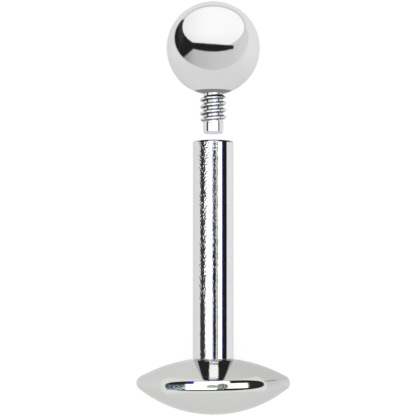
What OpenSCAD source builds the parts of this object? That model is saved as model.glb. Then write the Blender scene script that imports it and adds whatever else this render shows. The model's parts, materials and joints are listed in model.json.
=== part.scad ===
// Labret stud of polished steel: a ball with a threaded stem, and a hollow post on a lens-shaped disc.
// It is shown unscrewed, lying on its side on the ball and the disc's rim. All sizes are millimetres.

/* [Ball] */
// Diameter of the ball
ball_d = 3.68; // [3:0.01:5]
// Diameter of the flat on the ball that the stem comes out of
ball_flat_d = 0.96; // [0.9:0.02:1.8]
// Depth of the stem's blind socket, from the ball's flat
ball_socket_depth = 1.2; // [0.5:0.1:1.6]

/* [Threaded stem] */
// Length of the stem from the ball's flat to the tip
stem_len = 1.6; // [1.3:0.01:2.4]
// Diameter of the plain neck, which is also pressed into the ball
neck_d = 0.74; // [0.6:0.01:0.8]
// Length of the plain neck between the flat and the thread
neck_len = 0.05; // [0.03:0.01:0.3]
// Diameter over the crests of the thread
thread_d = 1.05; // [1:0.01:1.1]
// Depth of the thread from crest to root
thread_depth = 0.14; // [0.1:0.01:0.16]
// Pitch of the right-hand thread
thread_pitch = 0.27; // [0.2:0.01:0.35]
// Length of the plain lead-in below the thread
lead_len = 0.42; // [0.2:0.01:0.5]
// Diameter of the plain lead-in
lead_d = 0.79; // [0.7:0.01:0.85]
// Chamfer at the stem's tip
tip_chamfer = 0.12; // [0.05:0.01:0.18]

/* [Post] */
// Diameter of the post
post_d = 1.6; // [1.5:0.01:2]
// Length of the post from the disc's seat to the mouth
post_len = 8.5; // [6:0.1:16]
// Rounding of the outer edge at the mouth
mouth_round = 0.08; // [0.03:0.01:0.12]
// Chamfer round the bore at the mouth
mouth_chamfer = 0.05; // [0.02:0.01:0.08]
// Depth of the threaded bore beyond the stem's tip, with the ball screwed home
bore_spare = 1; // [0.4:0.1:2]
// Radial clearance between the thread's crests and the bore
bore_gap = 0.035; // [0.02:0.005:0.06]
// Depth of the thread cut into the bore's wall
bore_thread_depth = 0.09; // [0.05:0.01:0.12]
// Chamfer round the post's foot
foot_chamfer = 0.04; // [0.02:0.01:0.08]

/* [Disc] */
// Diameter of the disc
disc_d = 6; // [5:0.1:8]
// Radius of the domed face that lies against the lip
inner_dome_r = 6; // [5.5:0.1:12]
// Radius of the more rounded outer face
outer_dome_r = 4.65; // [4.3:0.05:6]
// Rounding radius of the rim
rim_r = 0.29; // [0.15:0.01:0.4]
// Width of the flat seat left round the post's foot
seat_margin = 0.06; // [0.03:0.01:0.2]
// Diameter of the spigot that the post is pressed onto
spigot_d = 0.9; // [0.7:0.05:1.1]
// Length of the spigot, up from the post's seat
spigot_len = 1; // [0.6:0.05:1.6]

/* [Fits] */
// Gap between pieces that are pressed together
press_gap = 0.02; // [0.01:0.005:0.03]
// Gap between the stem's tip and the post's mouth, as the stud is shown
open_gap = 0.28; // [0.1:0.01:1]

/* [Hidden] */
$fn = 96;

steel = [0.80, 0.80, 0.81];
stem_steel = [0.74, 0.74, 0.76];

// Heights along the stud's own axis, from the middle of the disc's outer face
rim_centre_r = disc_d / 2 - rim_r;
rim_z = outer_dome_r - sqrt(pow(outer_dome_r - rim_r, 2) - pow(rim_centre_r, 2));
inner_dome_z = rim_z - sqrt(pow(inner_dome_r - rim_r, 2) - pow(rim_centre_r, 2));
seat_r = post_d / 2 + seat_margin;
seat_z = inner_dome_z + sqrt(pow(inner_dome_r, 2) - pow(seat_r, 2));
foot_z = seat_z + press_gap;
mouth_z = foot_z + post_len;
tip_z = mouth_z + open_gap;
flat_z = tip_z + stem_len;
ball_r = ball_d / 2;
ball_z = flat_z + sqrt(pow(ball_r, 2) - pow(ball_flat_d / 2, 2));

bore_r = thread_d / 2 + bore_gap;
bore_depth = stem_len + bore_spare;

// The stud lies on the ball and the rim, so its axis dips towards the smaller end
lie_span = ball_z - rim_z;
lie_tilt = atan2(rim_centre_r, lie_span)
    - asin((ball_r - rim_r) / norm([lie_span, rim_centre_r]));
lie_height = ball_r + ball_z * sin(lie_tilt);
lie_back = outer_dome_r * (cos(lie_tilt) - 1);
lie_front = ball_z * cos(lie_tilt) + ball_r;

// Lays a piece, drawn upright on the stud's axis, down along Y with its front side up
module lying() {
    translate([0, -(lie_front + lie_back) / 2, lie_height])
        rotate([-90 - lie_tilt, 0, 0])
            children();
}

// The point where a dome of the given radius and centre height runs into the rounded rim
function rim_tangent(dome_r, centre_z) =
    [0, centre_z] + dome_r / (dome_r - rim_r) * [rim_centre_r, rim_z - centre_z];

module ball() {
    color(steel) lying() difference() {
        translate([0, 0, ball_z]) sphere(d = ball_d);
        // Flat, and the blind socket for the stem
        translate([0, 0, flat_z - ball_d]) cylinder(h = ball_d, d = ball_d);
        translate([0, 0, flat_z - ball_d])
            cylinder(h = ball_d + ball_socket_depth, d = neck_d + 2 * press_gap);
    }
}

// The stem is one skin of rings from the socket's bottom down to the tip
stem_sides = 30;
rings_per_turn = 8;
thread_end = stem_len - lead_len;
ring_step = thread_pitch / rings_per_turn;
root_r = thread_d / 2 - thread_depth;
press_len = ball_socket_depth - press_gap;
// Height of the first crest seen from the left, as a share of the pitch
thread_phase = 0.97;

// Crest and root are each flat over this share of the pitch
flat_share = 0.1875;

// Share of the thread's depth at a share of the pitch: a flat root, two flanks and a narrow crest
function ridge(share) =
    min(1, max(0, (0.5 - flat_share / 2 - abs(share - 0.5)) / (0.5 - flat_share)));

// The ridge runs in and out over half a turn
function ridge_fade(depth) =
    min(1, max(0, min(depth - neck_len, thread_end - depth) / (thread_pitch / 2)));

function ridge_share(depth, angle) =
    let (turns = -depth / thread_pitch - angle / 360 + thread_phase)
    turns - floor(turns);

// Rings: depth below the ball's flat, and radius under the thread
stem_rings = concat(
    [[-press_len, neck_d / 2 - tip_chamfer], [tip_chamfer - press_len, neck_d / 2]],
    [[neck_len, neck_d / 2]],
    [for (depth = [neck_len + ring_step : ring_step : thread_end - ring_step / 2]) [depth, root_r]],
    [[thread_end, lead_d / 2], [stem_len - tip_chamfer, lead_d / 2], [stem_len, lead_d / 2 - tip_chamfer]]
);

module threaded_stem() {
    last = len(stem_rings) - 1;
    points = [for (ring = stem_rings, side = [0 : stem_sides - 1])
        let (
            angle = side * 360 / stem_sides,
            r = ring[1] + thread_depth * ridge_fade(ring[0]) * ridge(ridge_share(ring[0], angle))
        )
        [r * cos(angle), r * sin(angle), flat_z - ring[0]]];
    walls = [for (i = [0 : last - 1], side = [0 : stem_sides - 1])
        let (
            next = (side + 1) % stem_sides,
            a = i * stem_sides + side,
            b = i * stem_sides + next,
            c = a + stem_sides,
            d = b + stem_sides
        )
        each [[a, b, c], [b, d, c]]];
    socket_end = [for (side = [stem_sides - 1 : -1 : 0]) side];
    tip_end = [for (side = [0 : stem_sides - 1]) last * stem_sides + side];
    color(stem_steel) lying() polyhedron(points, concat([socket_end], walls, [tip_end]));
}

// The thread in the bore is a groove, cut by a ridge of triangular section that opens inwards
groove_sides = 24;
groove_half_width = 0.4 * thread_pitch;
groove_top = mouth_z - mouth_chamfer - thread_pitch;
groove_turns = floor((bore_depth - mouth_chamfer) / thread_pitch - 2);

module bore_thread() {
    steps = groove_turns * groove_sides;
    section = [
        [thread_d / 2, -groove_half_width],
        [bore_r + bore_thread_depth, 0],
        [thread_d / 2, groove_half_width]
    ];
    points = [for (i = [0 : steps], corner = section)
        let (
            turns = i / groove_sides,
            z = groove_top - (groove_turns - turns) * thread_pitch
        )
        [corner[0] * cos(turns * 360), corner[0] * sin(turns * 360), z + corner[1]]];
    walls = [for (i = [0 : steps - 1], k = [0 : 2])
        let (
            a = i * 3 + k,
            b = i * 3 + (k + 1) % 3,
            c = a + 3,
            d = b + 3
        )
        each [[a, b, c], [b, d, c]]];
    last = steps * 3;
    polyhedron(points, concat([[2, 1, 0]], walls, [[last, last + 1, last + 2]]));
}

// Half of the post's section: wall, rounded mouth, chamfered foot, and a blind hole at either end
module post_section() {
    post_r = post_d / 2;
    difference() {
        union() {
            translate([0, mouth_z - mouth_round]) square([post_r - mouth_round, mouth_round]);
            translate([post_r - mouth_round, mouth_z - mouth_round]) circle(r = mouth_round);
            polygon([
                [0, foot_z], [post_r - foot_chamfer, foot_z], [post_r, foot_z + foot_chamfer],
                [post_r, mouth_z - mouth_round], [0, mouth_z - mouth_round]
            ]);
        }
        // Socket for the disc's spigot, and the bore for the stem
        translate([0, foot_z]) square([spigot_d / 2 + press_gap, spigot_len]);
        translate([0, mouth_z - bore_depth]) square([bore_r, bore_depth]);
        polygon([
            [0, mouth_z - mouth_chamfer], [bore_r, mouth_z - mouth_chamfer],
            [bore_r + mouth_chamfer, mouth_z], [0, mouth_z]
        ]);
    }
}

module post() {
    color(steel) lying() difference() {
        rotate_extrude() post_section();
        bore_thread();
    }
}

// Half of the disc's section: two domes cut off where they run into the rounded rim, and the spigot
module disc_section() {
    low = rim_tangent(outer_dome_r, outer_dome_r);
    high = rim_tangent(inner_dome_r, inner_dome_z);
    difference() {
        union() {
            intersection() {
                translate([0, outer_dome_r]) circle(r = outer_dome_r);
                translate([0, inner_dome_z]) circle(r = inner_dome_r);
                polygon([[0, -outer_dome_r], low, high, [0, inner_dome_z + 2 * inner_dome_r]]);
            }
            translate([rim_centre_r, rim_z]) circle(r = rim_r);
        }
        // Flat seat for the post's foot
        translate([0, seat_z]) square([disc_d, inner_dome_r]);
    }
    translate([0, rim_z]) square([spigot_d / 2, seat_z - rim_z + spigot_len]);
}

module disc() {
    color(steel) lying() rotate_extrude() disc_section();
}

ball();
threaded_stem();
post();
disc();
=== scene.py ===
"""Looks of the labret stud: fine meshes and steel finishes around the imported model, studio and camera.

Every length is in metres. A place on the stud is given along its own axis, from the middle of the disc's
outer face towards the ball, with a radius and an angle round that axis.

The steel is a mirror, so its look is what it mirrors. Each of the four pieces has a wide dome of light to
itself, painted with the room that it shows in the photo.
"""
import json
from math import acos, asin, ceil, cos, degrees, floor, pi, radians, sin, sqrt

import bmesh
import bpy
from mathutils import Matrix, Vector


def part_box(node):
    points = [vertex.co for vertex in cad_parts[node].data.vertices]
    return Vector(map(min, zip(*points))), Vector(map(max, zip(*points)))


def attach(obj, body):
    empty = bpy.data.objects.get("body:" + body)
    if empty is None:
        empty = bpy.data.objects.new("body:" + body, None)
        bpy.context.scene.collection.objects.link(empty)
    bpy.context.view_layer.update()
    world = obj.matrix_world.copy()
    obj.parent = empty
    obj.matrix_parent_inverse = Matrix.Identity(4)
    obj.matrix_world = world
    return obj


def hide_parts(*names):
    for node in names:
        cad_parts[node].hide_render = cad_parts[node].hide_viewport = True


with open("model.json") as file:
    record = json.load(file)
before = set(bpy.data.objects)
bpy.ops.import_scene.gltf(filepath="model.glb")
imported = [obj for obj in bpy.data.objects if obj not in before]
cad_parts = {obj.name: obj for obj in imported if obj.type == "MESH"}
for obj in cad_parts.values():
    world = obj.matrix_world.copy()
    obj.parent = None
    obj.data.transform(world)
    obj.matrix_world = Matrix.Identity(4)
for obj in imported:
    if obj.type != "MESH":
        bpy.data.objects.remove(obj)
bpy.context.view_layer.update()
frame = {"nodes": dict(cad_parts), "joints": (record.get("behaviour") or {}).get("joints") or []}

MM = 0.001

# The stud's own directions: along the axis, to the right, and towards the camera
AXIS = Vector(frame["joints"][0]["axis"]).normalized()
RIGHT = Vector((1, 0, 0))
FRONT = RIGHT.cross(AXIS)

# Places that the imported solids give
ball_low, ball_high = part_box("ball")
BALL_R = (ball_high.x - ball_low.x) / 2
BALL_CENTRE = Vector((0, ball_high.y - BALL_R, ball_low.z + BALL_R))


def axis_span(node):
    """Lowest and highest place of a solid along the axis, from the ball's centre."""
    places = [(vertex.co - BALL_CENTRE).dot(AXIS) for vertex in frame["nodes"][node].data.vertices]
    return min(places), max(places)


POLE = BALL_CENTRE + AXIS * axis_span("disc")[0]
BALL_PLACE = (BALL_CENTRE - POLE).dot(AXIS)
FLAT = BALL_PLACE + axis_span("ball")[0]
TIP, PRESSED_END = (BALL_PLACE + place for place in axis_span("threaded_stem"))
FOOT, MOUTH = (BALL_PLACE + place for place in axis_span("post"))
SPIGOT_TOP = BALL_PLACE + axis_span("disc")[1]
DISC_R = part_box("disc")[1].x
POST_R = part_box("post")[1].x

# Sizes of the steel pieces that the boxes don't give, as in the CAD model
PRESS_GAP = 0.02 * MM
FLAT_R = 0.48 * MM
BALL_SOCKET_DEPTH = 1.2 * MM
NECK_R = 0.37 * MM
NECK_LEN = 0.05 * MM
THREAD_R = 0.525 * MM
THREAD_DEPTH = 0.14 * MM
THREAD_PITCH = 0.27 * MM
# Height of the first crest seen from the left, as a share of the pitch
THREAD_PHASE = 0.97
LEAD_LEN = 0.42 * MM
LEAD_R = 0.395 * MM
TIP_CHAMFER = 0.12 * MM
MOUTH_ROUND = 0.08 * MM
MOUTH_CHAMFER = 0.05 * MM
BORE_R = 0.56 * MM
BORE_DEPTH = 2.60 * MM
BORE_THREAD_DEPTH = 0.09 * MM
# Half the groove's width at the stem's crests, as a share of the pitch
GROOVE_HALF_SHARE = 0.4
SPIGOT_R = 0.45 * MM
SPIGOT_LEN = 1 * MM
SPIGOT_CHAMFER = 0.04 * MM
INNER_DOME_R = 6 * MM
OUTER_DOME_R = 4.65 * MM
RIM_R = 0.29 * MM
SEAT_R = POST_R + 0.06 * MM

# Small forms that only the looks have
BALL_EDGE = 0.035 * MM
SOCKET_LIP = 0.03 * MM
FOOT_EDGE = 0.02 * MM
# Crest and root of the stem's thread are each flat over this share of the pitch, before they are rounded
FLAT_SHARE = 1 / 12
# Step beside an edge that keeps its shading off the straight wall
SHORT = 0.012 * MM


def on_stud(place, radius, angle):
    """The point at a place along the axis, a radius and an angle, which turns from right to the back."""
    return POLE + AXIS * place + RIGHT * (radius * cos(angle)) - FRONT * (radius * sin(angle))


def object_from(name, bm):
    """A new object in the scene with the mesh that was built."""
    mesh = bpy.data.meshes.new(name)
    bm.to_mesh(mesh)
    bm.free()
    thing = bpy.data.objects.new(name, mesh)
    bpy.context.scene.collection.objects.link(thing)
    return thing


def arc(centre_place, centre_radius, radius, start, end, steps):
    """Rings on a round part of a section. Angles are degrees, from straight out towards the ball."""
    angles = [radians(start + (end - start) * i / steps) for i in range(steps + 1)]
    return [(centre_place + radius * sin(a), centre_radius + radius * cos(a)) for a in angles]


def lathe(name, rings, sides, sharp_deg=32):
    """A closed skin round the axis. A ring is a place and a radius, which may be a function of the angle."""
    angles = [2 * pi * side / sides for side in range(sides)]
    bm = bmesh.new()
    rows = []
    for place, radius in rings:
        if radius == 0:
            points = [on_stud(place, 0, 0)]
        else:
            points = [on_stud(place, radius(a) if callable(radius) else radius, a) for a in angles]
        rows.append([bm.verts.new(point) for point in points])
    for low, high in zip(rows, rows[1:]):
        for i in range(sides):
            j = (i + 1) % sides
            corners = [low[i % len(low)], low[j % len(low)], high[j % len(high)], high[i % len(high)]]
            bm.faces.new(list(dict.fromkeys(corners)))
    bmesh.ops.recalc_face_normals(bm, faces=bm.faces)
    for face in bm.faces:
        face.smooth = True
    for edge in bm.edges:
        edge.smooth = edge.calc_face_angle(0) < radians(sharp_deg)
    return object_from(name, bm)


def make_ball():
    socket_r = NECK_R + PRESS_GAP
    rings = [
        (FLAT + BALL_SOCKET_DEPTH, 0),
        (FLAT + BALL_SOCKET_DEPTH, socket_r),
        (FLAT + SOCKET_LIP, socket_r),
        (FLAT, socket_r + SOCKET_LIP),
    ]
    # The flat's edge is rounded a little where it runs into the ball
    flat_deg = degrees(asin((FLAT - BALL_PLACE) / BALL_R))
    softened = degrees(BALL_EDGE / BALL_R)
    rings += [(FLAT, FLAT_R - BALL_EDGE), (FLAT + BALL_EDGE / 8, FLAT_R - BALL_EDGE / 3)]
    rings += arc(BALL_PLACE, 0, BALL_R, flat_deg + softened, 90, steps=120)[:-1]
    rings.append((BALL_PLACE + BALL_R, 0))
    return lathe("ball_polished", rings, sides=192)


def ridge(share):
    """Share of the thread's depth at a share of the pitch: rounded root, two flanks, rounded crest."""
    off_crest = abs(share - 0.5)
    rise = min(1, max(0, (0.5 - FLAT_SHARE / 2 - off_crest) / (0.5 - FLAT_SHARE)))
    return rise * rise * (3 - 2 * rise)


def stem_ring(depth, root_r, fade):
    """A ring of the stem at a depth below the ball's flat, with the thread risen by fade."""
    def radius(angle):
        turns = -depth / THREAD_PITCH - angle / (2 * pi) + THREAD_PHASE
        return root_r + THREAD_DEPTH * fade * ridge(turns - floor(turns))
    return FLAT - depth, radius


def make_stem():
    rings_per_turn = 28
    thread_end = FLAT - TIP - LEAD_LEN
    rings = [(PRESSED_END, 0), (PRESSED_END, NECK_R - TIP_CHAMFER), (PRESSED_END - TIP_CHAMFER, NECK_R)]
    rings += [(FLAT - NECK_LEN + SHORT, NECK_R), (FLAT - NECK_LEN, NECK_R)]
    count = ceil((thread_end - NECK_LEN) / THREAD_PITCH * rings_per_turn)
    for i in range(1, count):
        depth = NECK_LEN + (thread_end - NECK_LEN) * i / count
        # The thread runs in and out over half a turn
        fade = min(1, min(depth - NECK_LEN, thread_end - depth) / (THREAD_PITCH / 2))
        rings.append(stem_ring(depth, THREAD_R - THREAD_DEPTH, fade))
    rings += [(FLAT - thread_end, LEAD_R), (FLAT - thread_end - SHORT, LEAD_R)]
    rings += arc(TIP + TIP_CHAMFER, LEAD_R - TIP_CHAMFER, TIP_CHAMFER, 0, -90, steps=12)
    rings.append((TIP, 0))
    return lathe("stem_turned", rings, sides=120, sharp_deg=50)


def bore_ring(place, groove_top):
    """A ring of the bore, with the groove of its thread cut into the wall."""
    reach = BORE_R - THREAD_R + BORE_THREAD_DEPTH

    def radius(angle):
        turns = (place - groove_top) / THREAD_PITCH - angle / (2 * pi)
        off = abs(turns - round(turns)) / GROOVE_HALF_SHARE
        return max(BORE_R, THREAD_R + reach * (1 - off))
    return place, radius


def make_post():
    socket_r = SPIGOT_R + PRESS_GAP
    rings = [
        (FOOT + SPIGOT_LEN, 0),
        (FOOT + SPIGOT_LEN, socket_r),
        (FOOT + SOCKET_LIP, socket_r),
        (FOOT, socket_r + SOCKET_LIP),
    ]
    rings += arc(FOOT + FOOT_EDGE, POST_R - FOOT_EDGE, FOOT_EDGE, -90, 0, steps=6)
    rings += arc(MOUTH - MOUTH_ROUND, POST_R - MOUTH_ROUND, MOUTH_ROUND, 0, 90, steps=12)
    rings += [(MOUTH, BORE_R + MOUTH_CHAMFER), (MOUTH - MOUTH_CHAMFER, BORE_R)]
    # The bore's thread starts a turn below the mouth and ends above the bore's bottom
    rings_per_turn = 20
    groove_top = MOUTH - MOUTH_CHAMFER - THREAD_PITCH
    turns = floor((BORE_DEPTH - MOUTH_CHAMFER) / THREAD_PITCH - 2)
    for i in range((turns + 1) * rings_per_turn + 1):
        rings.append(bore_ring(groove_top + THREAD_PITCH * (0.5 - i / rings_per_turn), groove_top))
    rings += [(MOUTH - BORE_DEPTH, BORE_R), (MOUTH - BORE_DEPTH, 0)]
    return lathe("post_drawn", rings, sides=160)


def make_disc():
    rim_centre_r = DISC_R - RIM_R
    rim_place = OUTER_DOME_R - sqrt((OUTER_DOME_R - RIM_R) ** 2 - rim_centre_r ** 2)
    inner_place = rim_place - sqrt((INNER_DOME_R - RIM_R) ** 2 - rim_centre_r ** 2)
    outer_deg = -degrees(acos(rim_centre_r / (OUTER_DOME_R - RIM_R)))
    inner_deg = degrees(acos(rim_centre_r / (INNER_DOME_R - RIM_R)))
    seat_deg = degrees(acos(SEAT_R / INNER_DOME_R))
    rings = [(0, 0)]
    rings += arc(OUTER_DOME_R, 0, OUTER_DOME_R, -90, outer_deg, steps=72)[1:]
    rings += arc(rim_place, rim_centre_r, RIM_R, outer_deg, inner_deg, steps=48)[1:]
    rings += arc(inner_place, 0, INNER_DOME_R, inner_deg, seat_deg, steps=56)[1:]
    seat_place = rings[-1][0]
    rings += [
        (seat_place, SPIGOT_R),
        (SPIGOT_TOP - SPIGOT_CHAMFER, SPIGOT_R),
        (SPIGOT_TOP, SPIGOT_R - SPIGOT_CHAMFER),
        (SPIGOT_TOP, 0),
    ]
    return lathe("disc_polished", rings, sides=256)


def as_colour(value):
    """A number as a grey and three numbers as a colour, for a node's socket."""
    if isinstance(value, (int, float)):
        return (value, value, value, 1)
    return (*value, 1) if isinstance(value, tuple) else value


class Nodes:
    """Adds shader nodes to a material and joins them."""

    def __init__(self, name):
        self.material = bpy.data.materials.new(name)
        self.material.use_nodes = True
        self.tree = self.material.node_tree
        self.tree.nodes.clear()

    def add(self, kind, inputs=None, **settings):
        node = self.tree.nodes.new(kind)
        for key, value in settings.items():
            setattr(node, key, value)
        for key, value in (inputs or {}).items():
            if isinstance(value, bpy.types.NodeSocket):
                self.tree.links.new(value, node.inputs[key])
            else:
                node.inputs[key].default_value = value
        return node

    def end(self, shader):
        """Gives the material its surface."""
        self.add("ShaderNodeOutputMaterial", {"Surface": shader})
        return self.material

    def glow(self, colour, strength=1.0):
        return self.add("ShaderNodeEmission", {"Color": as_colour(colour), "Strength": strength}).outputs[0]

    def math(self, operation, *values):
        return self.add("ShaderNodeMath", dict(enumerate(values)), operation=operation).outputs[0]

    def times(self, a, b):
        return self.math("MULTIPLY", a, b)

    def minus(self, a, b):
        return self.math("SUBTRACT", a, b)

    def most(self, a, b):
        return self.math("MAXIMUM", a, b)

    def absolute(self, value):
        return self.math("ABSOLUTE", value)

    def line(self, x, slope, start):
        """The height of a straight line at x."""
        return self.math("MULTIPLY_ADD", x, slope, start)

    def squares(self, a, b):
        return self.math("ADD", self.times(a, a), self.times(b, b))

    def both(self, a, b):
        return self.times(a, b)

    def but_not(self, a, b):
        return self.times(a, self.minus(1, b))

    def step(self, value, edge, soft):
        """0 below the edge and 1 above it, with a smooth change over soft on either side."""
        return self.fade(value, edge - soft, edge + soft, 0, 1)

    def fade(self, value, low, high, from_value, to_value):
        """A smooth change from one value at low to another at high, and level outside them."""
        inputs = {"Value": value, "From Min": low, "From Max": high}
        inputs.update({"To Min": from_value, "To Max": to_value})
        return self.add("ShaderNodeMapRange", inputs, interpolation_type="SMOOTHSTEP").outputs[0]

    def between(self, value, low, high, soft):
        return self.but_not(self.step(value, low, soft), self.step(value, high, soft))

    def inside(self, x, y, centre, half, soft):
        """1 inside an ellipse and 0 outside it."""
        across = self.math("DIVIDE", self.minus(x, centre[0]), half[0])
        up = self.math("DIVIDE", self.minus(y, centre[1]), half[1])
        return self.minus(1, self.step(self.math("SQRT", self.squares(across, up)), 1, soft))

    def pane(self, x, y, sides, ends, soft):
        """1 inside a rectangle. soft is for its sides and for its ends."""
        return self.both(self.between(x, *sides, soft[0]), self.between(y, *ends, soft[1]))

    def over(self, below, above, share):
        """The first colour, with the second laid over it where share is 1."""
        inputs = {"Factor": share, "A": as_colour(below), "B": as_colour(above)}
        return self.add("ShaderNodeMix", inputs, data_type="RGBA").outputs["Result"]

    def bands(self, light, value, rows):
        """A light with bands laid over it. A row gives a band's two edges, their softness and its light."""
        for low, high, soft, own in rows:
            light = self.over(light, own, self.between(value, low, high, soft))
        return light

    def noise(self, vector, scale, detail=2.0):
        inputs = {"Vector": vector, "Scale": scale, "Detail": detail}
        return self.add("ShaderNodeTexNoise", inputs).outputs["Fac"]

    def vector(self, x, y, z=0):
        return self.add("ShaderNodeCombineXYZ", {0: x, 1: y, 2: z}).outputs[0]

    def vectors(self, operation, *values):
        return self.add("ShaderNodeVectorMath", dict(enumerate(values)), operation=operation).outputs[0]

    def parts(self, vector):
        """The x, y and z of a vector."""
        return self.add("ShaderNodeSeparateXYZ", {0: vector}).outputs

    def own_place(self):
        return self.add("ShaderNodeTexCoord").outputs["Object"]


# Steel. Tones are the darkest and the lightest colour, clouds and grains are features to the metre, and
# roughnesses belong to the grain's low and high end. One finish runs into the next over a soft edge
GRAIN_LOW = 0.3
GRAIN_HIGH = 0.7
FINISH_SOFT = 0.008 * MM
EDGE_TINT = (0.85, 0.85, 0.85, 1)

BALL_TONES = (0.70, 0.73)
DISC_TONES = ((0.69, 0.70, 0.68), (0.72, 0.73, 0.70))
POLISH_CLOUD = 900
POLISH_GRAIN = 14000
POLISH_ROUGHNESS = (0.05, 0.09)
POLISH_RELIEF = 0.0002 * MM

# The ball is rougher up to this radius round the stem, and its colour there is a painted dark reflection
ROUGH_AND_PAINTED_DARK_R = 0.73 * MM
ROUGH_AND_PAINTED_DARK_SOFT = 0.006 * MM
PAINTED_DARK_REFLECTION_TONE = 0.21
DULL_ROUGHNESS = 0.35

DRAWN_TONES = ((0.70, 0.70, 0.71), (0.73, 0.73, 0.74))
DRAWN_CLOUD = 1500
DRAWN_GRAIN = 15500
DRAWN_ROUGHNESS = (0.05, 0.10)
DRAWN_RELIEF = 0.012 * MM
# Height along the post from which its grain grows coarse, and the stretch that this takes
COARSE_FROM = 4.0 * MM
COARSE_STRETCH = 0.8 * MM
# Height and tone of the painted dark reflection at the post's mouth, front and back
PAINTED_DARK_MOUTH_HEIGHT = 0.045 * MM
PAINTED_DARK_MOUTH_TONE = (0.10, 0.10, 0.13)

TURNED_TONES = ((0.70, 0.70, 0.71), (0.76, 0.76, 0.78))
TURNED_CLOUD = 2500
TURNED_RINGS = 30000
TURNED_ROUGHNESS = (0.06, 0.12)
TURNED_RELIEF = 0.001 * MM
# Radii between which the stem's thread has rougher flanks, with painted shade in their colour
FLANK_FROM = 0.408 * MM
FLANK_TO = 0.505 * MM
PAINTED_FLANK_SHADE_TONE = (0.25, 0.25, 0.26)
FLANK_ROUGHNESS = 0.2


def stud_point(nodes, scale=(1, 1, 1)):
    """Place in the stud's own frame for a texture: right, back and along the axis, times scale."""
    turned = Matrix((RIGHT, -FRONT, AXIS)).to_euler()
    inputs = {"Vector": nodes.own_place(), "Rotation": turned}
    own = nodes.add("ShaderNodeMapping", inputs, vector_type="POINT").outputs[0]
    return nodes.vectors("MULTIPLY", own, scale)


def steel(name, cloud_scale, tones):
    """Begins a steel material: its nodes, the place on the stud, and a faintly cloudy colour."""
    nodes = Nodes(name)
    place = stud_point(nodes)
    return nodes, place, nodes.over(*tones, nodes.noise(place, cloud_scale))


def by_grain(nodes, grain, roughnesses):
    return nodes.fade(grain, GRAIN_LOW, GRAIN_HIGH, *roughnesses)


def finish_steel(nodes, colour, roughness, height, relief):
    """Ends a steel material: colour, roughness, and the height and depth of its fine relief."""
    bump = nodes.add("ShaderNodeBump", {"Height": height, "Distance": relief, "Strength": 1.0}).outputs[0]
    return nodes.end(nodes.add("ShaderNodeBsdfPrincipled", {
        "Base Color": colour, "Metallic": 1.0, "Roughness": roughness, "Normal": bump,
        "Specular Tint": EDGE_TINT,
    }).outputs[0])


def ball_steel():
    """Mirror polished, but rougher close round the stem, where its colour is a painted dark reflection."""
    nodes, place, colour = steel("ball_steel", POLISH_CLOUD, BALL_TONES)
    grain = nodes.noise(place, POLISH_GRAIN, 4)
    rough_and_painted_dark_up_to = BALL_CENTRE.dot(AXIS) - sqrt(BALL_R ** 2 - ROUGH_AND_PAINTED_DARK_R ** 2)
    polished = nodes.step(nodes.parts(place)[2], rough_and_painted_dark_up_to, ROUGH_AND_PAINTED_DARK_SOFT)
    # Painted dark reflection: close round the stem the colour is set dark, and the roughness is raised
    colour = nodes.over(PAINTED_DARK_REFLECTION_TONE, colour, polished)
    roughness = nodes.over(DULL_ROUGHNESS, by_grain(nodes, grain, POLISH_ROUGHNESS), polished)
    return finish_steel(nodes, colour, roughness, grain, POLISH_RELIEF)


def polished_steel():
    nodes, place, colour = steel("polished_steel", POLISH_CLOUD, DISC_TONES)
    grain = nodes.noise(place, POLISH_GRAIN, 4)
    return finish_steel(nodes, colour, by_grain(nodes, grain, POLISH_ROUGHNESS), grain, POLISH_RELIEF)


def drawn_steel():
    """Drawn tube: polished, with a grain left on it that catches the light."""
    nodes, place, colour = steel("drawn_steel", DRAWN_CLOUD, DRAWN_TONES)
    grain = nodes.noise(place, DRAWN_GRAIN, 0)
    right, _, along = nodes.parts(place)
    # The grain is coarser on the left and towards the mouth
    left = nodes.both(nodes.between(right, -0.55 * MM, 0.2 * MM, 0.1 * MM),
                      nodes.fade(right, -0.3 * MM, -0.1 * MM, 1, 0.35))
    pole_along = POLE.dot(AXIS)
    start = pole_along + COARSE_FROM
    coarse = nodes.times(left, nodes.fade(along, start, start + COARSE_STRETCH, 0.35, 1))
    # The mouth's edge is painted darker front and back, a painted dark reflection
    edge = nodes.step(along, pole_along + MOUTH - PAINTED_DARK_MOUTH_HEIGHT, FINISH_SOFT)
    edge = nodes.both(edge, nodes.between(right, -0.5 * MM, 0.42 * MM, 0.08 * MM))
    colour = nodes.over(colour, PAINTED_DARK_MOUTH_TONE, edge)
    roughness = by_grain(nodes, grain, DRAWN_ROUGHNESS)
    return finish_steel(nodes, colour, roughness, nodes.times(grain, coarse), DRAWN_RELIEF)


def turned_steel():
    """Turned steel, polished on the crests and roots of the thread; its flanks are rougher and their colour
    is painted shade.
    """
    nodes, place, colour = steel("turned_steel", TURNED_CLOUD, TURNED_TONES)
    # Noise that changes slowly across the stem and fast along it, which leaves fine rings
    rings = nodes.noise(stud_point(nodes, (0.1, 0.1, 1)), TURNED_RINGS, 3)
    right, back, _ = nodes.parts(place)
    reach = nodes.math("SQRT", nodes.squares(right, nodes.minus(back, POLE.dot(-FRONT))))
    rough_flank_painted_shade = nodes.between(reach, FLANK_FROM, FLANK_TO, FINISH_SOFT)
    # Painted shade: the flanks' colour is darkened, standing in for shade in the thread's grooves
    colour = nodes.over(colour, PAINTED_FLANK_SHADE_TONE, rough_flank_painted_shade)
    roughness = nodes.over(by_grain(nodes, rings, TURNED_ROUGHNESS), FLANK_ROUGHNESS, rough_flank_painted_shade)
    return finish_steel(nodes, colour, roughness, rings, TURNED_RELIEF)


# Lights of the studio. 1 is white paper, and a colour gives its red, green and blue
BRIGHT = 1.8
DARK = 0.03
NIGHT_BLUE = (0.03, 0.04, 0.30)
DEEP_BLUE = (0.03, 0.02, 0.6)
PALE_BLUE = (0.85, 0.90, 1.2)
VIOLET = (0.33, 0.25, 0.60)
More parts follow.
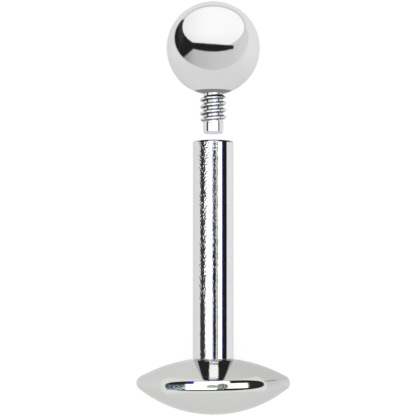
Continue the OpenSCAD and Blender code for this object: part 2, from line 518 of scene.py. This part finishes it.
# Sizes and lights of the dome, the floor and the world around them
DOME_R = 0.3
FLOOR_HALF = 2.0
FLOOR_PAPER = 0.9
FLOOR_GLOW = 0.55
WORLD_LIGHT = 0.6


def seen_by_mirrors_only(thing):
    thing.visible_camera = False
    thing.visible_diffuse = False
    thing.visible_transmission = False
    thing.visible_volume_scatter = False
    thing.visible_shadow = False


def dome_light(name, centre, towards_camera, piece, paint):
    """A wide dome whose inside only that piece mirrors. paint gives its light from a direction."""
    nodes = Nodes(name)
    way = nodes.vectors("NORMALIZE", nodes.own_place())
    clear = nodes.add("ShaderNodeBsdfTransparent").outputs[0]
    nodes.end(nodes.add("ShaderNodeAddShader", {0: nodes.glow(paint(nodes, way)), 1: clear}).outputs[0])
    nodes.material.cycles.emission_sampling = "NONE"

    bm = bmesh.new()
    bmesh.ops.create_icosphere(bm, subdivisions=4, radius=DOME_R)
    dome = object_from(name, bm)
    dome.data.materials.append(nodes.material)
    up = RIGHT.cross(-towards_camera).normalized()
    turned = Matrix((RIGHT, -towards_camera, up)).transposed()
    dome.matrix_world = Matrix.Translation(centre) @ turned.to_4x4()
    seen_by_mirrors_only(dome)
    lit = bpy.data.collections.new(name + "_lit")
    lit.objects.link(piece)
    dome.light_linking.receiver_collection = lit


# The domes are painted on charts. Across runs from -1 on a piece's left outline to 1 on its right one, and
# the other direction runs up. A light lies where a round piece of that kind would show it to the camera


def mirror_normal(nodes, way):
    """Right, away and up of the mirror's normal that shows a direction to the camera."""
    half_way = nodes.vectors("ADD", way, (0, -1, 0))
    return nodes.parts(nodes.vectors("NORMALIZE", half_way))


def rim_chart(nodes, way):
    """Where a round rim shows a direction: right in its radii, and the rise of its normal."""
    right, _, up = mirror_normal(nodes, way)
    # Just over 1, so that the root stays above 0
    just_over_1 = 1.000001
    level = nodes.math("SQRT", nodes.minus(just_over_1, nodes.times(up, up)))
    return nodes.math("DIVIDE", right, level), up


def rod_chart(nodes, way):
    """Where an upright rod shows a direction: right in its radii, and the climb of the direction."""
    level = nodes.vectors("NORMALIZE", nodes.vectors("MULTIPLY", way, (1, 1, 0)))
    return mirror_normal(nodes, level)[0], nodes.parts(way)[2]


def paint_ball_dome(nodes, way):
    """A pale surround, and in it a grey room with a dark end on the left and a bright round window."""
    x, _, y = mirror_normal(nodes, way)
    surround = nodes.fade(y, -0.5, -0.05, 0.93, 1.0)
    surround = nodes.times(surround, nodes.fade(x, 0.5, 0.9, 1.0, 1.06))
    surround = nodes.times(surround, nodes.fade(y, 0.3, 1.0, 1.0, 1.08))
    outline = nodes.step(nodes.squares(x, y), 0.965, 0.03)
    lower_left = nodes.both(nodes.fade(y, -0.9, -0.5, 1, 0), nodes.fade(x, -0.4, 0.2, 1, 0))
    surround = nodes.over(surround, 0.45, nodes.both(outline, lower_left))

    left_room = nodes.inside(x, y, (0.043, 0.212), (0.862, 0.668), 0.015)
    left_room = nodes.but_not(left_room, nodes.step(x, 0.1, 0.05))
    room = nodes.most(nodes.inside(x, y, (0.0, 0.212), (0.7435, 0.668), 0.035), left_room)
    grey = nodes.times(nodes.fade(x, -0.62, -0.35, 0.42, 0.66), nodes.fade(x, -0.45, 0.2, 1, 1.2))
    grey = nodes.times(grey, nodes.fade(x, 0.25, 0.75, 1, 1.13))
    light = nodes.over(surround, grey, room)
    frame_light = 0.84
    light = nodes.over(light, frame_light, nodes.inside(x, y, (0, 0.445), (0.685, 0.465), 0.02))

    # A round window over the camera, with its blind down to a slightly sloping line
    window = nodes.inside(x, y, (0, 0.441), (0.65, 0.43), 0.012)
    over_sill = nodes.minus(y, nodes.line(x, -0.07, 0.088))
    window = nodes.both(window, nodes.step(over_sill, -0.02, 0.012))
    bright = nodes.both(nodes.fade(x, -0.65, -0.1, 1.18, 1.33), nodes.fade(y, 0.1, 0.4, 0.93, 1.0))
    light = nodes.over(light, bright, window)

    # Dark strip under the sill, with a lower edge that sags
    lower_edge = nodes.line(nodes.times(x, x), 0.33, -0.075)
    strip = nodes.step(nodes.minus(y, lower_edge), 0, 0.012)
    strip = nodes.but_not(strip, nodes.step(over_sill, 0, 0.012))
    strip = nodes.both(strip, nodes.between(x, -0.43, 0.43, 0.01))

    # The dark end of the room on the left, over a sloping edge, with a faint glint
    dark_end = nodes.step(nodes.minus(y, nodes.line(x, 0.865, 0.34)), 0, 0.02)
    dark_end = nodes.but_not(dark_end, nodes.step(x, -0.36, 0.02))
    dark_end = nodes.but_not(dark_end, nodes.step(y, 0.60, 0.03))
    dark_end = nodes.both(nodes.but_not(dark_end, window), left_room)
    glint = nodes.both(nodes.between(x, -0.72, -0.64, 0.05), nodes.step(y, 0.1, 0.15))
    dark = nodes.over(0.02, 0.05, glint)
    return nodes.over(light, dark, nodes.most(strip, dark_end))


def paint_post_dome(nodes, way):
    """Upright bands for the post's front, and higher up the room that its mirror image in the disc shows."""
    across, climb = rod_chart(nodes, way)
    light = nodes.over(0.97, 1.05, nodes.step(across, 0, 0.1))
    light = nodes.bands(light, across, [
        # Room, its paler left part, and a blue edge before the right part
        (-0.64, 0.655, 0.012, 0.015),
        (-0.64, -0.3, 0.012, 0.055),
        (0.40, 0.475, 0.02, NIGHT_BLUE),
    ])
    lamp = nodes.but_not(nodes.step(across, -0.39, 0.04), nodes.step(across, 0.42, 0.012))
    light = nodes.over(light, BRIGHT, lamp)
    light = nodes.bands(light, across, [
        # Two greys to the right of the middle line, and a pale blue to its left
        (0.12, 0.19, 0.01, 0.8),
        (0.19, 0.245, 0.01, 0.45),
        (-0.06, 0.0, 0.02, PALE_BLUE),
    ])
    middle_line = nodes.over(DARK, 0.35, nodes.between(climb, 0.045, 0.09, 0.01))
    light = nodes.over(light, middle_line, nodes.between(across, -0.01, 0.13, 0.015))

    # Higher up the room is wider, as the disc's face shows, and two dark beams cross its lamp
    side = nodes.absolute(nodes.minus(across, 0.035))
    wall = nodes.over((0.80, 0.88, 0.95), 0.62, nodes.step(across, 0, 0.1))
    room = nodes.step(nodes.minus(nodes.fade(climb, 0.4, 0.95, 0.825, 0.92), side), 0, 0.015)
    lamp = nodes.step(nodes.minus(nodes.fade(climb, 0.4, 0.95, 0.225, 0.36), side), 0, 0.02)
    for low, high, soft in ((0.26, 0.295, 0.01), (0.355, 0.41, 0.015)):
        lamp = nodes.but_not(lamp, nodes.between(climb, low, high, soft))
    upper = nodes.over(nodes.over(wall, DARK, room), BRIGHT, lamp)
    upper = nodes.over(upper, VIOLET, nodes.pane(across, climb, (-0.36, 0.42), (0.80, 0.96), (0.05, 0.01)))
    # The mouth's rounded edge mirrors a dark sky, but not at its sides
    mouth = nodes.but_not(nodes.step(mirror_normal(nodes, way)[2], 0.6, 0.02), nodes.step(side, 0.75, 0.05))
    upper = nodes.over(upper, 0.12, mouth)
    return nodes.over(light, upper, nodes.step(climb, 0.2, 0.02))


def paint_disc_dome(nodes, way):
    """Grey above and below, and in front a long dark room that slopes a little, with a wide lamp in it."""
    across, rise = rim_chart(nodes, way)
    # Tall is -1 at the room's lower edge and 1 at its upper edge
    tall = nodes.math("DIVIDE", nodes.minus(rise, 0.15), 0.637)
    tall = nodes.line(across, -0.27, tall)
    wide = nodes.math("DIVIDE", nodes.minus(across, 0.018), 0.63)
    reach = nodes.math("ADD", nodes.math("POWER", nodes.absolute(wide), 4),
                       nodes.math("POWER", nodes.absolute(tall), 3))
    room = nodes.minus(1, nodes.step(reach, 1, 0.06))

    # A pale fringe round the room, paler rims, and one scratch on the right
    upper = nodes.fade(across, -0.6, 0.6, 0.885, 0.785)
    fringe = nodes.pane(across, tall, (-0.67, 0.68), (-1.35, 1.4), (0.02, 0.05))
    fringe = nodes.but_not(fringe, nodes.step(rise, 0.866, 0.004))
    light = nodes.over(nodes.fade(rise, -0.3, 0.3, 0.87, upper), 1.0, fringe)
    rims = nodes.both(nodes.step(nodes.absolute(across), 0.86, 0.08), nodes.between(rise, -0.35, 0.45, 0.1))
    light = nodes.over(light, 0.92, rims)
    light = nodes.over(light, 0.3, nodes.pane(across, tall, (0.67, 0.83), (0.42, 0.58), (0.03, 0.04)))
    light = nodes.over(light, DARK, room)

    # The room's left end is mottled, darker to the left and towards the top
    place = nodes.vector(nodes.times(across, 60), nodes.times(tall, 4))
    spots = nodes.fade(nodes.noise(place, 1.0, 1), 0.42, 0.58, 0, 1)
    pale = nodes.times(spots, nodes.fade(across, -0.62, -0.42, 0.35, 1))
    pale = nodes.times(pale, nodes.fade(tall, -0.3, 0.3, 1, 0.25))
    mottled = nodes.over((0.02, 0.03, 0.05), (0.85, 0.98, 1.12), pale)
    light = nodes.over(light, mottled, nodes.pane(across, tall, (-0.60, -0.33), (-0.75, 0.32), (0.02, 0.06)))

    # A lamp with a raised middle, a blue edge on its left and a dark line under its right half
    lamp = nodes.pane(across, tall, (-0.355, 0.44), (-0.76, 0.42), (0.02, 0.05))
    lamp_top = nodes.pane(across, tall, (-0.25, 0.215), (0.3, 0.92), (0.01, 0.05))
    blue = nodes.pane(across, tall, (-0.34, -0.26), (0.35, 0.85), (0.01, 0.05))
    line = nodes.pane(across, tall, (0.04, 0.46), (-0.85, -0.58), (0.02, 0.05))
    light = nodes.over(light, DEEP_BLUE, blue)
    light = nodes.over(light, BRIGHT, nodes.most(lamp, lamp_top))
    light = nodes.over(light, DARK, line)

    # Two spotted shapes in front of the lamp
    blot = nodes.inside(across, tall, (0.115, -0.15), (0.075, 0.6), 0.12)
    light = nodes.over(light, nodes.over(0.0, (0.62, 0.70, 0.60), spots), blot)
    haze = nodes.inside(across, tall, (-0.02, -0.1), (0.07, 0.35), 0.3)
    return nodes.over(light, nodes.over((0.75, 0.82, 0.95), 0.3, spots), haze)


def paint_stem_dome(nodes, way):
    """Bright in front, most of all in the middle, with two dark edges."""
    across, climb = rod_chart(nodes, way)
    light = nodes.bands(1.4, across, [
        (-0.02, 0.25, 0.05, (2.3, 2.4, 2.9)),
        (-0.66, -0.5, 0.02, DARK),
        (0.5, 0.62, 0.02, DARK),
    ])
    light = nodes.over(0.95, light, nodes.step(across, -0.68, 0.02))
    light = nodes.over(light, 1.0, nodes.step(across, 0.65, 0.02))
    return nodes.over(light, 0.3, nodes.step(climb, 0.72, 0.06))


def make_card(name, place, inner_r, outer_r, light, carrier):
    """A pale ring across the axis that only mirrors see, and only from the ball's side."""
    nodes = Nodes(name)
    clear = nodes.add("ShaderNodeBsdfTransparent").outputs[0]
    back = nodes.add("ShaderNodeNewGeometry").outputs["Backfacing"]
    nodes.end(nodes.add("ShaderNodeMixShader", {0: back, 1: nodes.glow(light), 2: clear}).outputs[0])
    nodes.material.cycles.emission_sampling = "NONE"

    sides = 64
    angles = [2 * pi * i / sides for i in range(sides)]
    bm = bmesh.new()
    inner, outer = ([bm.verts.new(on_stud(place, r, a)) for a in angles] for r in (inner_r, outer_r))
    for i in range(sides):
        j = (i + 1) % sides
        face = bm.faces.new([inner[i], inner[j], outer[j], outer[i]])
        face.normal_update()
        if face.normal.dot(AXIS) < 0:
            face.normal_flip()
    card = object_from(name, bm)
    card.data.materials.append(nodes.material)
    seen_by_mirrors_only(card)
    card.parent = carrier


def make_floor():
    nodes = Nodes("pale_floor")
    paper = nodes.add("ShaderNodeBsdfDiffuse", {"Color": as_colour(FLOOR_PAPER)}).outputs[0]
    nodes.end(nodes.add("ShaderNodeAddShader", {0: paper, 1: nodes.glow(1, FLOOR_GLOW)}).outputs[0])
    bm = bmesh.new()
    corners = [(-1, -1, 0), (1, -1, 0), (1, 1, 0), (-1, 1, 0)]
    bm.faces.new([bm.verts.new(Vector(corner) * FLOOR_HALF) for corner in corners])
    sheet = object_from("floor", bm)
    sheet.data.materials.append(nodes.material)
    sheet.visible_glossy = False


def make_world():
    world = bpy.data.worlds.new("studio")
    bpy.context.scene.world = world
    world.use_nodes = True
    background = world.node_tree.nodes["Background"]
    background.inputs["Color"].default_value = (1, 1, 1, 1)
    background.inputs["Strength"].default_value = WORLD_LIGHT
    world.cycles_visibility.glossy = False


# The photo is 416 pixels wide, at 25.58 pixels to the millimetre
PHOTO_PIXELS = 416
PIXELS_PER_MM = 25.58
FIELD = PHOTO_PIXELS / PIXELS_PER_MM * MM
# The camera stands in front of the stud's middle and looks at the middle of the picture, which lies higher
CAMERA_AWAY = 70 * MM
CAMERA_PLACE = 5.3 * MM
CAMERA_LEFT = 0.205 * MM
MIDDLE_PLACE = 8.043 * MM
SENSOR = 36.0


def make_camera():
    data = bpy.data.cameras.new("camera")
    camera = bpy.data.objects.new("camera", data)
    bpy.context.scene.collection.objects.link(camera)
    aside = RIGHT * -CAMERA_LEFT
    place = POLE + AXIS * CAMERA_PLACE + FRONT * CAMERA_AWAY + aside
    look = POLE + AXIS * MIDDLE_PLACE + aside - place
    data.sensor_width = SENSOR
    data.lens = SENSOR * look.length / FIELD
    data.clip_start = 0.001
    data.clip_end = 10
    back = -look.normalized()
    up = back.cross(RIGHT)
    camera.matrix_world = Matrix.Translation(place) @ Matrix((RIGHT, up, back)).transposed().to_4x4()
    bpy.context.scene.camera = camera
    bpy.context.scene.view_settings.view_transform = "Standard"
    return place


def dress(piece, body, node, material):
    piece.data.materials.append(material)
    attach(piece, body)
    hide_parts(node)


camera_place = make_camera()
make_world()
make_floor()

ball = make_ball()
stem = make_stem()
post = make_post()
disc = make_disc()
dress(ball, "ball_end", "ball", ball_steel())
dress(stem, "ball_end", "threaded_stem", turned_steel())
dress(post, "stud", "post", drawn_steel())
dress(disc, "stud", "disc", polished_steel())

# The ball's mirror shows a card in place of the rest of the stud, and the stem's end one over the bore
make_card("ball_card", place=FLAT - 0.05 * MM, inner_r=NECK_R + 0.01 * MM, outer_r=1.9 * MM,
          light=0.92, carrier=ball)
make_card("tip_card", place=TIP - 0.03 * MM, inner_r=0.01 * MM, outer_r=0.6 * MM,
          light=0.85, carrier=stem)

dome_light("ball_dome", BALL_CENTRE, (camera_place - BALL_CENTRE).normalized(), ball, paint_ball_dome)
dome_light("stem_dome", POLE + AXIS * TIP, FRONT, stem, paint_stem_dome)
dome_light("post_dome", POLE + AXIS * CAMERA_PLACE, FRONT, post, paint_post_dome)
dome_light("disc_dome", POLE, FRONT, disc, paint_disc_dome)
